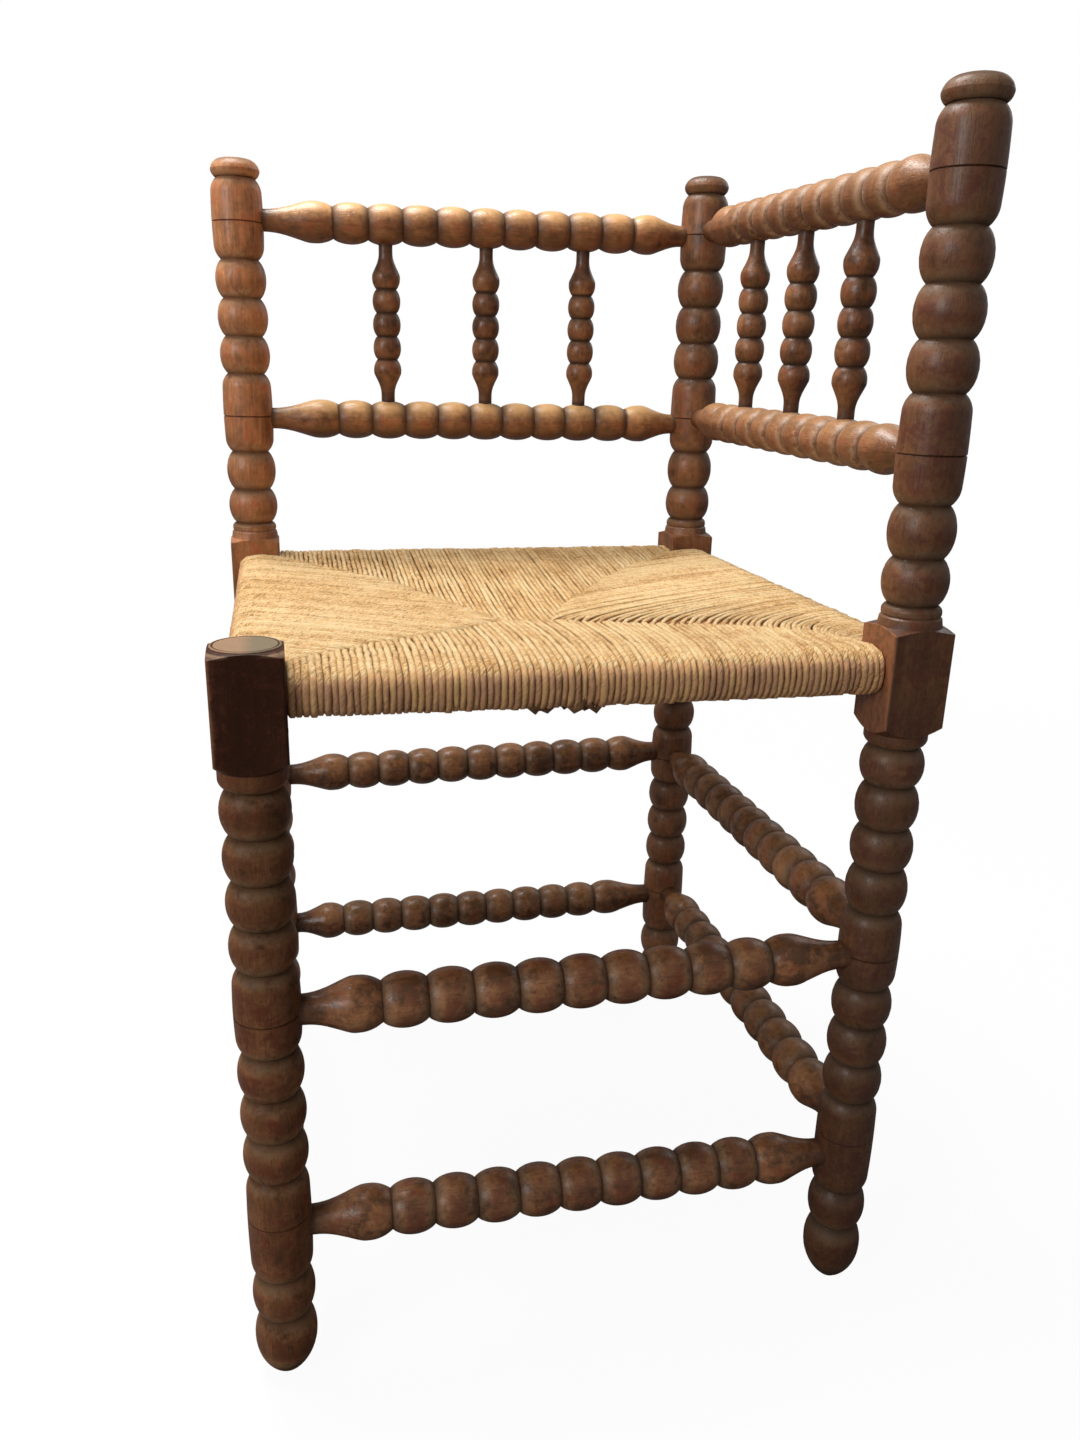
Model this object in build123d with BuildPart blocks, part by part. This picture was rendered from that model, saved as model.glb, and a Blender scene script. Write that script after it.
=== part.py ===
from build123d import *
from math import cos, radians, sin, sqrt
import os

# Corner chair: four turned posts on a square plan, a back on its rear and right sides, a rush seat.
# Millimetres, +Z up, +X from the front left post to the front right one, +Y from front to rear.
# The origin is on the floor, at the centre of the square.

# --- plan ---
post_spacing = 390.0  # post axis to post axis, both ways

# --- posts, from the floor up ---
post_radius = 19.8  # bobbins and foot
barrel_radius = 19.8  # plain stretches that take the rails
groove_radius = 14.6  # bottom of the grooves between bobbins
foot_height = 47.0
foot_widest_height = 28.5
foot_tread_radius = 7.5  # flat that meets the floor
ankle_bobbin = 31.5  # length of the one bobbin over the foot
lower_barrel = 75.0
shin_bobbin = 29.4
shin_bobbins = 3
upper_barrel = 56.0
thigh_bobbin = 27.9
thigh_bobbins = 4
uneven_thigh = {"front_right": (2.7, 0.4, 1.3, -1.7)}  # that post's are this much longer, from the lowest up
drum_height = 12.0  # round drum under the square block
drum_radius = 19.4
drum_curve = 4.8  # height over which the drum rounds out of its groove
barrel_end = 11.0  # length over which a barrel rounds down to its groove
barrel_crown = 0.4  # how far its middle stands out from a straight line

block_side = 39.8
block_height = 67.0
block_edge_round = 2.0
lower_shoulder = 6.5  # height over which the lathe cuts away the block's lower corners
upper_shoulder = 3.0
disc_radius = 18.9  # flat turned top of the low post
disc_height = 0.9
disc_edge = 0.4
disc_groove_radius = 17.3
disc_groove = 0.6  # depth and half the width of the groove round the disc

collar_foot_radius = 19.2  # on top of the block, from where the collar narrows upwards
collar_notch_height = 6.2  # to the notch cut round the collar
collar_notch_radius = 17.2
collar_notch_width = 1.2
collar_rim_height = 9.6
collar_rim_radius = 17.8
collar_height = 13.0
waist_bobbins = (28.0, 31.0)  # the two are not of one length
lower_back_barrel = 62.5
back_bobbin = 29.0
back_bobbins = 3
upper_back_barrel = 59.7
neck_radius = 15.6  # under the cap
cap_height = 13.3
cap_radius = 18.7
cap_widest_height = 5.6
cap_flat_radius = 11.0
cap_fullness = 1.2  # how far the cap's shoulder stands out from a straight line

# turned by hand, no tall post is quite as long above its block as the next: shares of the lengths above
back_stretch = {"front_right": 1.0, "back_right": 1.021, "back_left": 0.99}

bobbin_roundness = 60.0  # degrees of its ellipse that a bobbin's profile takes, each way from the crown
end_fullness = 0.64  # share of its radius that a rounded end keeps, most of the way down
scribe_width = 1.1
scribe_depth = 0.8
lower_scribe_rise = 7.5  # the lowest scribed line, above the middle of its barrel
scribe_rise = -2.5  # the other scribed lines

# --- stretchers and back rails ---
stretcher_tenon_radius = 9.2  # also the rail's neck, where it leaves the post
back_rail_tenon_radius = 8.3
tenon_depth = 9.3  # into a barrel, from its widest radius
mortise_clearance = 0.1  # radial
mortise_end_gap = 0.3
rail_bobbin = 27.8
rail_bobbins = 9
stretcher_radius = 17.0
stretcher_groove_radius = 12.4
back_rail_radius = 15.6
back_rail_groove_radius = 11.9
bulb_fall = 14.5  # length from the widest place of a rail's end bulb to the first groove
neck_showing = 0.5  # length of plain neck between a post and the swell of the bulb
swell_course = ((0.28, 0.13), (0.55, 0.48), (0.82, 0.90))  # shares of a swell's length and of its height

# heights of the lower and the upper rail's axis above the middles of the barrels, at each side's first post
# and at its second: the mortises were not drilled quite level
stretcher_rise = {"front": ((-3.2, -9.5), (-4.1, -5.1)), "right": ((5.4, 8.8), (-1.4, 6.2)),
                  "rear": ((0.8, 0.0), (-0.6, 2.5)), "left": ((5.0, 5.0), (1.0, 1.0))}
back_rail_rise = {"rear": ((-5.1, -6.0), (-2.35, 2.35)), "right": ((-0.1, -3.9), (6.15, -2.95))}

# how far the rows of bobbins sit off the rails' middles, towards each side's second post
stretcher_shift = {"front": (0.0, -3.0), "right": (4.0, 1.5), "rear": (-6.5, 2.5), "left": (0.0, 0.0)}
back_rail_shift = {"rear": 4.0, "right": 5.5}

# --- spindles ---
spindle_bobbins = (2, 5, 8)  # rail bobbins that carry one, counted along the rail
spindle_names = {"rear": ("left", "middle", "right"), "right": ("rear", "middle", "front")}
spindle_bead = 18.2
spindle_bead_count = 3
spindle_radius = 11.4
spindle_groove_radius = 8.2
spindle_tenon_radius = 5.6
spindle_tenon_depth = 7.0
spindle_bulb_swell = 19.0
spindle_bulb_fall = 8.8

# --- seat ---
seat_rail_radius = 9.2
seat_rail_rise = 8.2  # above the middle of the square blocks
seat_tenon_radius = 6.5
seat_mortise_bottom = 7.5  # from the post's axis
seat_rail_chamfer = 1.5
cord_thickness = 3.4  # thickness of each layer of rush cord
rush_clearance = 0.3  # rush to wood
roll_bulge = 1.1  # the wrapped edge is this much deeper than it is high, to each side of its rail
roll_flat = 1.4  # half the height of the flat left on the wrapped edge
sag_rim = 6.0  # the sag starts this far inside the rails' axes
top_sag = 21.0  # fall of the top layer from the rails to the centre
bottom_sag = 7.0
centre_patch = 16.0  # level patch where the four sections meet
pocket_reach = 1.5  # how far the pocket between the layers opens into the rails' channels
pocket_corner = 60.0
stuffing_margin = 3.0
stuffing_clearance = 0.4

# --- levels, worked out from the lengths above ---
lower_barrel_start = foot_height + ankle_bobbin
shin = lower_barrel_start + lower_barrel
upper_barrel_start = shin + shin_bobbins * shin_bobbin
thigh = upper_barrel_start + upper_barrel
drum_start = thigh + thigh_bobbins * thigh_bobbin
block_bottom = drum_start + drum_height
block_top = block_bottom + block_height
disc_top = block_top + disc_height
seat_rail_height = block_bottom + block_height / 2 + seat_rail_rise
seat_rail_heights = (seat_rail_height, seat_rail_height)
waist = block_top + collar_height
lower_back_start = waist + sum(waist_bobbins)
back = lower_back_start + lower_back_barrel
upper_back_start = back + back_bobbins * back_bobbin
neck = upper_back_start + upper_back_barrel

leg_middles = (lower_barrel_start + lower_barrel / 2, upper_barrel_start + upper_barrel / 2)
back_middles = (lower_back_start + lower_back_barrel / 2, upper_back_start + upper_back_barrel / 2)

# --- plan and joints, worked out ---
half = post_spacing / 2
corners = {"front_left": (-half, -half), "front_right": (half, -half),
           "back_right": (half, half), "back_left": (-half, half)}
sides = {"front": ("front_left", "front_right"), "right": ("back_right", "front_right"),
         "rear": ("back_left", "back_right"), "left": ("front_left", "back_left")}
levels = ("lower", "upper")


def raised(middles, rises):
    """The heights of each side's lower and upper rail, at the first post and at the second."""
    return {side: [[middle + rise for rise in ends] for middle, ends in zip(middles, rails)]
            for side, rails in rises.items()}


stretcher_heights = raised(leg_middles, stretcher_rise)
back_rail_heights = raised(back_middles, back_rail_rise)

corner_radius = block_side / sqrt(2)
mortise_bottom = barrel_radius - tenon_depth  # from the post's axis
spindle_mortise_bottom = back_rail_radius - spindle_tenon_depth
roll_half_height = seat_rail_radius + rush_clearance + cord_thickness
roll_half_depth = roll_half_height + roll_bulge
seat_top = seat_rail_height + roll_half_height
seat_bottom = seat_rail_height - roll_half_height

os.makedirs("parts", exist_ok=True)


def save(part, label):
    part.label = label
    export_step(part, f"parts/{label}.step")


# Turned profiles are drawn lying down: x runs along the work from the lathe plane's origin, y is the radius.
def lathe_plane(origin, along):
    upright = abs(along.Z) > abs(along.X) + abs(along.Y)
    across = Vector(0, 1, 0) if upright else along.cross(Vector(0, 0, 1))
    return Plane(origin=origin, x_dir=along, z_dir=across)


def bobbin(start, length, radius, end_radius):
    """An ellipse's crown from groove to groove. Returns where it ends."""
    reach = radians(bobbin_roundness)
    crown = (radius - end_radius) / (1 - cos(reach))
    centre = (start + length / 2, radius - crown)
    EllipticalCenterArc(centre, length / 2 / sin(reach), crown, 90 - bobbin_roundness,
                        arc_size=2 * bobbin_roundness)
    return start + length


def bobbin_row(start, count, length, radius, end_radius):
    for _ in range(count):
        start = bobbin(start, length, radius, end_radius)
    return start


def fall_to_groove(widest, way, length, radius, end_radius):
    """The round fall from a widest place to a groove, along +x or -x."""
    between = (widest + way * length * end_fullness, end_radius + (radius - end_radius) * end_fullness)
    ThreePointArc((widest, radius), between, (widest + way * length, end_radius))


def barrel(start, length):
    """A plain stretch of a post, nearly straight between its rounded ends."""
    first, last = start + barrel_end, start + length - barrel_end
    shoulder = barrel_radius - barrel_crown
    fall_to_groove(first, -1, barrel_end, shoulder, groove_radius)
    ThreePointArc((first, shoulder), ((first + last) / 2, barrel_radius), (last, shoulder))
    fall_to_groove(last, 1, barrel_end, shoulder, groove_radius)


def bulb_end(end, way, tenon, neck_end, fall, radius, end_radius):
    """One vase-shaped end: tenon from the axis, neck, swelling bulb and fall, ending at its groove."""
    widest = end - way * fall
    length, height = widest - neck_end, radius - tenon[1]
    course = [(neck_end + along * length, tenon[1] + up * height) for along, up in swell_course]
    Polyline((tenon[0], 0), tenon, (neck_end, tenon[1]))
    Spline((neck_end, tenon[1]), *course, (widest, radius), tangents=((way, 0), (way, 0)))
    fall_to_groove(widest, way, fall, radius, end_radius)


def rail_ends(side, heights):
    """Where a rail's axis meets the axes of its two posts."""
    return [Vector(*corners[name], height) for name, height in zip(sides[side], heights)]


# --- posts ---


def post_mortises(post):
    """Every hole in a post: from the axis, its start and direction, its radius and its bottom's distance."""
    holes = []
    for side, ends in sides.items():
        if post in ends:
            first = post == ends[0]
            rails = [(heights, stretcher_tenon_radius, mortise_bottom) for heights in stretcher_heights[side]]
            rails += [(heights, back_rail_tenon_radius, mortise_bottom)
                      for heights in back_rail_heights.get(side, [])]
            rails.append((seat_rail_heights, seat_tenon_radius, seat_mortise_bottom))
            for heights, radius, bottom in rails:
                start, end = rail_ends(side, heights)
                here, there = (start, end) if first else (end, start)
                holes.append((here, (there - here).normalized(), radius, bottom))
    return holes


def leg_outline(post):
    """The round work from the floor up into the block."""
    Line((0, 0), (0, foot_tread_radius))
    fall_to_groove(foot_widest_height, -1, foot_widest_height, post_radius, foot_tread_radius)
    fall_to_groove(foot_widest_height, 1, foot_height - foot_widest_height, post_radius, groove_radius)
    bobbin(foot_height, ankle_bobbin, post_radius, groove_radius)
    barrel(lower_barrel_start, lower_barrel)
    bobbin_row(shin, shin_bobbins, shin_bobbin, post_radius, groove_radius)
    barrel(upper_barrel_start, upper_barrel)
    start = thigh
    for longer in uneven_thigh.get(post, (0,) * thigh_bobbins):
        start = bobbin(start, thigh_bobbin + longer, post_radius, groove_radius)
    fall_to_groove(start + drum_curve, -1, drum_curve, drum_radius, groove_radius)
    Polyline((start + drum_curve, drum_radius), (block_top - upper_shoulder, drum_radius))


def low_top_outline():
    """The low post's flat turned top, down to the axis."""
    Polyline((block_top - upper_shoulder, drum_radius), (block_top, disc_radius),
             (disc_top - disc_edge, disc_radius), (disc_top, disc_radius - disc_edge), (disc_top, 0), (0, 0))


def above_block(level, stretch):
    """Where a level lies on a post that is longer or shorter than the measured one."""
    return block_top + (level - block_top) * stretch


def back_outline(stretch):
    """The round work of a tall post from the block to the cap, down to the axis."""
    notch = block_top + collar_notch_height
    rim = block_top + collar_rim_height
    Polyline((block_top - upper_shoulder, drum_radius), (block_top, collar_foot_radius),
             (notch - collar_notch_width, collar_notch_radius + collar_notch_width),
             (notch, collar_notch_radius), (notch + collar_notch_width, collar_rim_radius),
             (rim, collar_rim_radius))
    start = above_block(waist, stretch)
    fall_to_groove(rim, 1, start - rim, collar_rim_radius, groove_radius)
    for length in waist_bobbins:
        start = bobbin(start, length * stretch, post_radius, groove_radius)
    barrel(start, lower_back_barrel * stretch)
    start = above_block(back, stretch)
    bobbin_row(start, back_bobbins, back_bobbin * stretch, post_radius, groove_radius)
    barrel(above_block(upper_back_start, stretch), upper_back_barrel * stretch)
    neck_start = above_block(neck, stretch)
    Line((neck_start, groove_radius), (neck_start, neck_radius))
    widest = neck_start + cap_widest_height
    top = neck_start + cap_height
    fall_to_groove(widest, -1, cap_widest_height, cap_radius, neck_radius)
    shoulder = ((widest + top) / 2 + cap_fullness, (cap_radius + cap_flat_radius) / 2 + cap_fullness)
    ThreePointArc((widest, cap_radius), shoulder, (top, cap_flat_radius))
    Polyline((top, cap_flat_radius), (top, 0), (0, 0))


for post, (x, y) in corners.items():
    stretch = back_stretch.get(post)
    lathe = lathe_plane((x, y, 0), Vector(0, 0, 1))
    centre_line = Axis((x, y, 0), (0, 0, 1))

    with BuildPart() as post_piece:
        with BuildSketch(Plane(origin=(x, y, block_bottom))):
            Rectangle(block_side, block_side)
        extrude(amount=block_height)
        fillet(post_piece.edges().filter_by(Axis.Z), block_edge_round)

        # the lathe cuts the block's corners back at both ends
        with BuildSketch(lathe):
            with BuildLine():
                Polyline((block_bottom, 0), (block_bottom, drum_radius),
                         (block_bottom + lower_shoulder, corner_radius),
                         (block_top - upper_shoulder, corner_radius),
                         (block_top, drum_radius), (block_top, 0), (block_bottom, 0))
            make_face()
        revolve(axis=centre_line, mode=Mode.INTERSECT)

        with BuildSketch(lathe):
            with BuildLine():
                leg_outline(post)
                if stretch:
                    back_outline(stretch)
                else:
                    low_top_outline()
            make_face()
        revolve(axis=centre_line)

        # scribed lines round the barrels, and the groove round the low post's disc
        scribes = [leg_middles[0] + lower_scribe_rise, leg_middles[1] + scribe_rise]
        if stretch:
            scribes += [above_block(middle + scribe_rise, stretch) for middle in back_middles]
        with BuildSketch(lathe):
            for z in scribes:
                with BuildLine():
                    Polyline((z - scribe_width, barrel_radius + scribe_depth),
                             (z, barrel_radius - scribe_depth),
                             (z + scribe_width, barrel_radius + scribe_depth),
                             (z - scribe_width, barrel_radius + scribe_depth))
                make_face()
            if not stretch:
                with BuildLine():
                    Polyline((disc_top, disc_groove_radius - disc_groove),
                             (disc_top - disc_groove, disc_groove_radius),
                             (disc_top, disc_groove_radius + disc_groove),
                             (disc_top, disc_groove_radius - disc_groove))
                make_face()
        revolve(axis=centre_line, mode=Mode.SUBTRACT)

        for start, way, radius, bottom in post_mortises(post):
            with BuildSketch(Plane(origin=start + way * bottom, z_dir=way)):
                Circle(radius + mortise_clearance)
            extrude(amount=block_side, mode=Mode.SUBTRACT)
    save(post_piece.part, f"post_{post}")


# --- stretchers and back rails ---


def rail_outline(radius, end_radius, tenon_radius, shift, reach):
    row = rail_bobbins * rail_bobbin
    tenon_end = reach - mortise_bottom - mortise_end_gap
    neck_end = reach - barrel_radius - neck_showing
    for way in (-1, 1):
        bulb_end(shift + way * row / 2, -way, (way * tenon_end, tenon_radius), way * neck_end, bulb_fall,
                 radius, end_radius)
    bobbin_row(shift - row / 2, rail_bobbins, rail_bobbin, radius, end_radius)
    Line((-tenon_end, 0), (tenon_end, 0))


def spindle_seat(side, number, heights):
    """The point on a back rail's axis at the crown of a bobbin."""
    start, end = rail_ends(side, heights)
    place = back_rail_shift[side] + (number - 0.5 - rail_bobbins / 2) * rail_bobbin
    return start + (end - start) * (0.5 + place / post_spacing)


def turn_rail(name, side, heights, radii, shift, socket_way=0):
    """One rail. Back rails have sockets for the spindles: below on the upper rail, above on the lower."""
    start, end = rail_ends(side, heights)
    middle = (start + end) / 2
    along = (end - start).normalized()
    with BuildPart() as rail_piece:
        with BuildSketch(lathe_plane(middle, along)):
            with BuildLine():
                rail_outline(*radii, shift, (end - middle).length)
            make_face()
        revolve(axis=Axis(middle, along))
        if socket_way:
            for number in spindle_bobbins:
                up = Vector(0, 0, socket_way)
                bottom = spindle_seat(side, number, heights) + up * spindle_mortise_bottom
                with BuildSketch(Plane(origin=bottom, z_dir=up)):
                    Circle(spindle_tenon_radius + mortise_clearance)
                extrude(amount=radii[0], mode=Mode.SUBTRACT)
    save(rail_piece.part, name)


stretcher_radii = (stretcher_radius, stretcher_groove_radius, stretcher_tenon_radius)
for side, rails in stretcher_heights.items():
    for level, heights, shift in zip(levels, rails, stretcher_shift[side]):
        turn_rail(f"stretcher_{side}_{level}", side, heights, stretcher_radii, shift)

back_rail_radii = (back_rail_radius, back_rail_groove_radius, back_rail_tenon_radius)
for side, rails in back_rail_heights.items():
    for level, heights, socket_way in zip(levels, rails, (1, -1)):
        shift = back_rail_shift[side]
        turn_rail(f"back_rail_{side}_{level}", side, heights, back_rail_radii, shift, socket_way)

# --- spindles ---

for side, rails in back_rail_heights.items():
    row = spindle_bead_count * spindle_bead
    neck_end = row / 2 + spindle_bulb_fall + spindle_bulb_swell
    for place, number in zip(spindle_names[side], spindle_bobbins):
        low, high = (spindle_seat(side, number, heights) for heights in rails)
        middle = (low + high) / 2
        tenon_end = (high - low).Z / 2 - spindle_mortise_bottom - mortise_end_gap
        with BuildPart() as spindle_piece:
            with BuildSketch(lathe_plane(middle, Vector(0, 0, 1))):
                with BuildLine():
                    for way in (-1, 1):
                        bulb_end(way * row / 2, -way, (way * tenon_end, spindle_tenon_radius),
                                 way * neck_end, spindle_bulb_fall, spindle_radius, spindle_groove_radius)
                    bobbin_row(-row / 2, spindle_bead_count, spindle_bead, spindle_radius,
                               spindle_groove_radius)
                    Line((-tenon_end, 0), (tenon_end, 0))
                make_face()
            revolve(axis=Axis(middle, (0, 0, 1)))
        save(spindle_piece.part, f"spindle_{side}_{place}")

# --- seat rails ---

for side in sides:
    start, end = rail_ends(side, seat_rail_heights)
    middle = (start + end) / 2
    along = (end - start).normalized()
    body_end = half - block_side / 2 - mortise_clearance
    tenon_end = half - seat_mortise_bottom - mortise_end_gap
    with BuildPart() as seat_rail_piece:
        with BuildSketch(lathe_plane(middle, along)):
            with BuildLine():
                Polyline((-tenon_end, 0), (-tenon_end, seat_tenon_radius), (-body_end, seat_tenon_radius),
                         (-body_end, seat_rail_radius - seat_rail_chamfer),
                         (-body_end + seat_rail_chamfer, seat_rail_radius),
                         (body_end - seat_rail_chamfer, seat_rail_radius),
                         (body_end, seat_rail_radius - seat_rail_chamfer),
                         (body_end, seat_tenon_radius), (tenon_end, seat_tenon_radius), (tenon_end, 0),
                         (-tenon_end, 0))
            make_face()
        revolve(axis=Axis(middle, along))
    save(seat_rail_piece.part, f"seat_rail_{side}")

# --- rush seat: two layers of cord that sag in the middle, wrapped round the seat rails ---


def sagging_pad(half_width, corner_round, top, bottom):
    """A square pad; inside the rim, four planes fall to the centre, above and below."""
    rim = half - sag_rim
    widest = 2 * max(half_width, rim)
    with BuildPart() as pad:
        with BuildSketch(Plane.XY.offset(bottom)):
            Rectangle(widest, widest)
        extrude(amount=top - bottom)
        for level, fall, mode in ((bottom, bottom_sag, Mode.ADD), (top, top_sag, Mode.SUBTRACT)):
            with BuildSketch(Plane.XY.offset(level - fall)):
                Rectangle(centre_patch, centre_patch)
            with BuildSketch(Plane.XY.offset(level)):
                Rectangle(2 * rim, 2 * rim)
            loft(ruled=True, mode=mode)
        if half_width < rim:
            with BuildSketch(Plane.XY.offset(bottom - bottom_sag)):
                RectangleRounded(2 * half_width, 2 * half_width, corner_round)
            extrude(amount=top - bottom + bottom_sag, mode=Mode.INTERSECT)
    return pad.part


def wrapped_edge(edge):
    """Whether an edge of the pad runs along a side, at the top or the bottom."""
    middle = edge.center()
    outside = max(abs(middle.X), abs(middle.Y)) > half + roll_half_depth / 2
    return outside and abs(middle.Z - seat_rail_height) > roll_half_height / 2


inner_top = seat_top - cord_thickness
inner_bottom = seat_bottom + cord_thickness
pocket_half = half - seat_rail_radius + pocket_reach

seat_body = sagging_pad(half + roll_half_depth, 0, seat_top, seat_bottom)
pocket = sagging_pad(pocket_half, pocket_corner, inner_top, inner_bottom)
stuffing = sagging_pad(pocket_half - stuffing_margin, pocket_corner - stuffing_margin,
                       inner_top - stuffing_clearance, inner_bottom + stuffing_clearance)
save(stuffing, "rush_stuffing")

with BuildPart() as rush_seat:
    add(seat_body)
    fillet(rush_seat.edges().filter_by(wrapped_edge), roll_half_height - roll_flat)
    add(pocket, mode=Mode.SUBTRACT)
    # channels for the seat rails
    for side in sides:
        start, end = rail_ends(side, seat_rail_heights)
        with BuildSketch(Plane(origin=start, z_dir=end - start)):
            Circle(seat_rail_radius + rush_clearance)
        extrude(amount=post_spacing, mode=Mode.SUBTRACT)
    # notches for the posts' blocks
    with BuildSketch(Plane.XY.offset(seat_bottom - bottom_sag)):
        with Locations(*corners.values()):
            Rectangle(block_side + 2 * rush_clearance, block_side + 2 * rush_clearance)
    extrude(amount=seat_top - seat_bottom + bottom_sag, mode=Mode.SUBTRACT)
save(rush_seat.part, "rush_seat")

tops = [above_block(neck, stretch) + cap_height for stretch in back_stretch.values()]
print("height", round(max(tops), 1), "seat", round(seat_top, 1), "width", post_spacing + block_side)
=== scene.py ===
# Corner chair: bobbin-turned wood and a rush seat, dressed for a studio view.
import math
import random

import bpy
from mathutils import Matrix, Vector


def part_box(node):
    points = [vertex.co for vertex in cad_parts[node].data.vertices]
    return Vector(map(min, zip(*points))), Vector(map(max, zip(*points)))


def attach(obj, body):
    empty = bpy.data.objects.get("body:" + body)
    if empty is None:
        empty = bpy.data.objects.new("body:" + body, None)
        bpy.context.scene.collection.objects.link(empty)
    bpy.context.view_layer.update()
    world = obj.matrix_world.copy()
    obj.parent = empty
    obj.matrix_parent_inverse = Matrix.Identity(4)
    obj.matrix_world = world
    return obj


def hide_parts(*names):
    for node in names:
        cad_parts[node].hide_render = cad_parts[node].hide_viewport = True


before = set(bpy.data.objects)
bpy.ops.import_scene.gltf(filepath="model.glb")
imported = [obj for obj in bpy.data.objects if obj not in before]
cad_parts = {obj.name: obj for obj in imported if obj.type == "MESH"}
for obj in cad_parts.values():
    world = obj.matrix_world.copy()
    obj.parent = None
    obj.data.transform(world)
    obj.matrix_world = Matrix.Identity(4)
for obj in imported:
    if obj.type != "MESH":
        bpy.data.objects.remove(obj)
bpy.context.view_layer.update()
bpy.ops.object.select_all(action="DESELECT")
scene = bpy.context.scene
mm = 0.001


def unwrap(value):
    return value.socket if isinstance(value, Wire) else value


class Wire:  # one output socket, so that shader maths reads as sums
    def __init__(self, paint, socket):
        self.paint, self.socket = paint, socket

    def maths(self, operation, *values):
        return self.paint.add("ShaderNodeMath", {"operation": operation}, dict(enumerate(values)))

    def __add__(self, other):
        return self.maths("ADD", self, other)

    def __radd__(self, other):
        return self.maths("ADD", other, self)

    def __sub__(self, other):
        return self.maths("SUBTRACT", self, other)

    def __rsub__(self, other):
        return self.maths("SUBTRACT", other, self)

    def __mul__(self, other):
        return self.maths("MULTIPLY", self, other)

    def __rmul__(self, other):
        return self.maths("MULTIPLY", other, self)

    def __truediv__(self, other):
        return self.maths("DIVIDE", self, other)

    def __pow__(self, other):
        return self.maths("POWER", self, other)

    def __abs__(self):
        return self.maths("ABSOLUTE", self)

    def atLeast(self, other):
        return self.maths("MAXIMUM", self, other)

    def atMost(self, other):
        return self.maths("MINIMUM", self, other)


class Paint:  # one material and its nodes
    def __init__(self, name):
        self.material = bpy.data.materials.new(name)
        self.material.use_nodes = True
        self.tree = self.material.node_tree
        self.shader = self.tree.nodes["Principled BSDF"]

    def add(self, kind, settings=None, inputs=None, output=0):
        node = self.tree.nodes.new(kind)
        for key, value in (settings or {}).items():
            if key == "stops":
                ramp = node.color_ramp
                while len(ramp.elements) < len(value):
                    ramp.elements.new(1)
                for element, (place, colour) in zip(ramp.elements, value):
                    element.position = place
                    element.color = (*colour, 1)
            else:
                setattr(node, key, value)
        for key, value in (inputs or {}).items():
            value = unwrap(value)
            if isinstance(value, bpy.types.NodeSocket):
                self.tree.links.new(value, node.inputs[key])
            else:
                node.inputs[key].default_value = value
        return Wire(self, node.outputs[output])

    def place(self, scale=(1, 1, 1), shift=(0, 0, 0)):
        spot = self.add("ShaderNodeTexCoord", output=3)
        return self.add("ShaderNodeMapping", None, {"Vector": spot, "Location": shift, "Scale": scale})

    def parts(self, vector):
        return [self.add("ShaderNodeSeparateXYZ", None, {0: vector}, axis) for axis in range(3)]

    def noise(self, spot, scale, detail=3, roughness=0.5, distortion=0):
        values = {"Vector": spot, "Scale": scale, "Detail": detail, "Roughness": roughness,
                  "Distortion": distortion}
        return self.add("ShaderNodeTexNoise", None, values)

    def step(self, value, low, high):  # smooth 0 to 1 as the value goes from low to high
        values = {"Value": value, "From Min": low, "From Max": high}
        return self.add("ShaderNodeMapRange", {"interpolation_type": "SMOOTHSTEP"}, values)

    def band(self, value, low, high, soft):  # 1 between low and high
        return self.step(value, low - soft, low) * (1 - self.step(value, high, high + soft))

    def ramp(self, share, *stops):
        return self.add("ShaderNodeValToRGB", {"stops": stops}, {"Fac": share})

    def mix(self, share, first, second):
        values = {0: share, 6: colourOf(first), 7: colourOf(second)}
        return self.add("ShaderNodeMix", {"data_type": "RGBA"}, values, 2)

    def scaled(self, colour, factor):
        return self.add("ShaderNodeVectorMath", {"operation": "SCALE"}, {0: colour, 3: factor})

    def finish(self, colour, roughness, height, depth, strength=1.0):
        self.tree.links.new(unwrap(colour), self.shader.inputs["Base Color"])
        self.tree.links.new(unwrap(roughness), self.shader.inputs["Roughness"])
        bump = self.add("ShaderNodeBump", None, {"Height": height, "Distance": depth, "Strength": strength})
        self.tree.links.new(unwrap(bump), self.shader.inputs["Normal"])
        return self.material


def colourOf(value):
    return (*value, 1) if isinstance(value, tuple) else value


# focal and long are pixels of an image 1080 wide and 1440 high; angles are degrees
view = {"place": (-0.1746, -0.7788, 0.6315), "yaw": 13.526, "pitch": 17.786, "roll": 1.376,
        "focal": 1098.1, "long": 1440, "sensor": 36, "nearest": 0.05}


def setCamera():
    yaw, pitch, roll = (math.radians(view[key]) for key in ("yaw", "pitch", "roll"))
    ahead = Vector((math.sin(yaw) * math.cos(pitch), math.cos(yaw) * math.cos(pitch), -math.sin(pitch)))
    level = Vector((math.cos(yaw), -math.sin(yaw), 0))
    upright = level.cross(ahead)
    right = math.cos(roll) * level + math.sin(roll) * upright
    up = math.cos(roll) * upright - math.sin(roll) * level
    turned = Matrix((right, up, -ahead)).transposed().to_4x4()
    bpy.ops.object.camera_add()
    camera = bpy.context.object
    camera.name = "camera"
    camera.matrix_world = Matrix.Translation(view["place"]) @ turned
    camera.data.sensor_width = view["sensor"]
    camera.data.lens = view["sensor"] * view["focal"] / view["long"]
    camera.data.clip_start = view["nearest"]
    scene.camera = camera


setCamera()
print("camera placed")

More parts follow.
